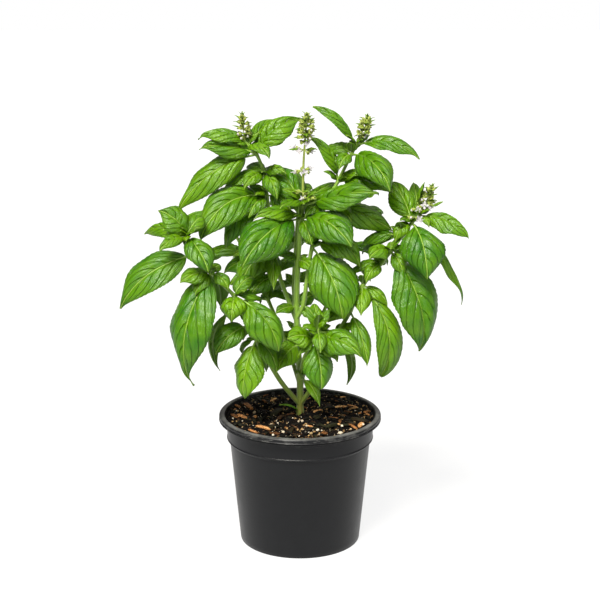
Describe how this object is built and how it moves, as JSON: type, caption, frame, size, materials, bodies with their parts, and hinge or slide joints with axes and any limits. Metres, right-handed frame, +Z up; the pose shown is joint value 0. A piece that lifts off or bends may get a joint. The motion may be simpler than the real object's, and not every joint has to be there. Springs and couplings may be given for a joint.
{
  "type": "potted basil plant",
  "caption": "Bushy basil plant with ovate leaves and flower spikes, growing in soil in a round rimmed nursery pot.",
  "frame": {"origin": "middle of the pot's underside, on the surface that the pot stands on", "axes": "+Z up along the pot's axis; -Y is the side that the picture shows"},
  "size_m": [0.3116, 0.2012, 0.4064],
  "materials": {
    "pot": "moulded charcoal polypropylene, satin, dusty at the rim",
    "soil": "damp peat with bark chips and perlite",
    "foliage": "living leaf and stem, quilted, semi-gloss above",
    "flower": "downy green calyces with small white petals"
  },
  "bodies": {
    "root": {"pot": "pot", "soil": "soil", "main_stem": "foliage", "left_upper_stem": "foliage", "right_upper_stem": "foliage", "left_lower_stem": "foliage", "right_lower_stem": "foliage", "front_shoot": "foliage", "back_left_stem": "foliage", "back_right_stem": "foliage", "back_stem": "foliage", "centre_spike": "flower", "left_spike": "flower", "right_spike": "flower", "far_spike": "flower"}
  },
  "joints": []
}
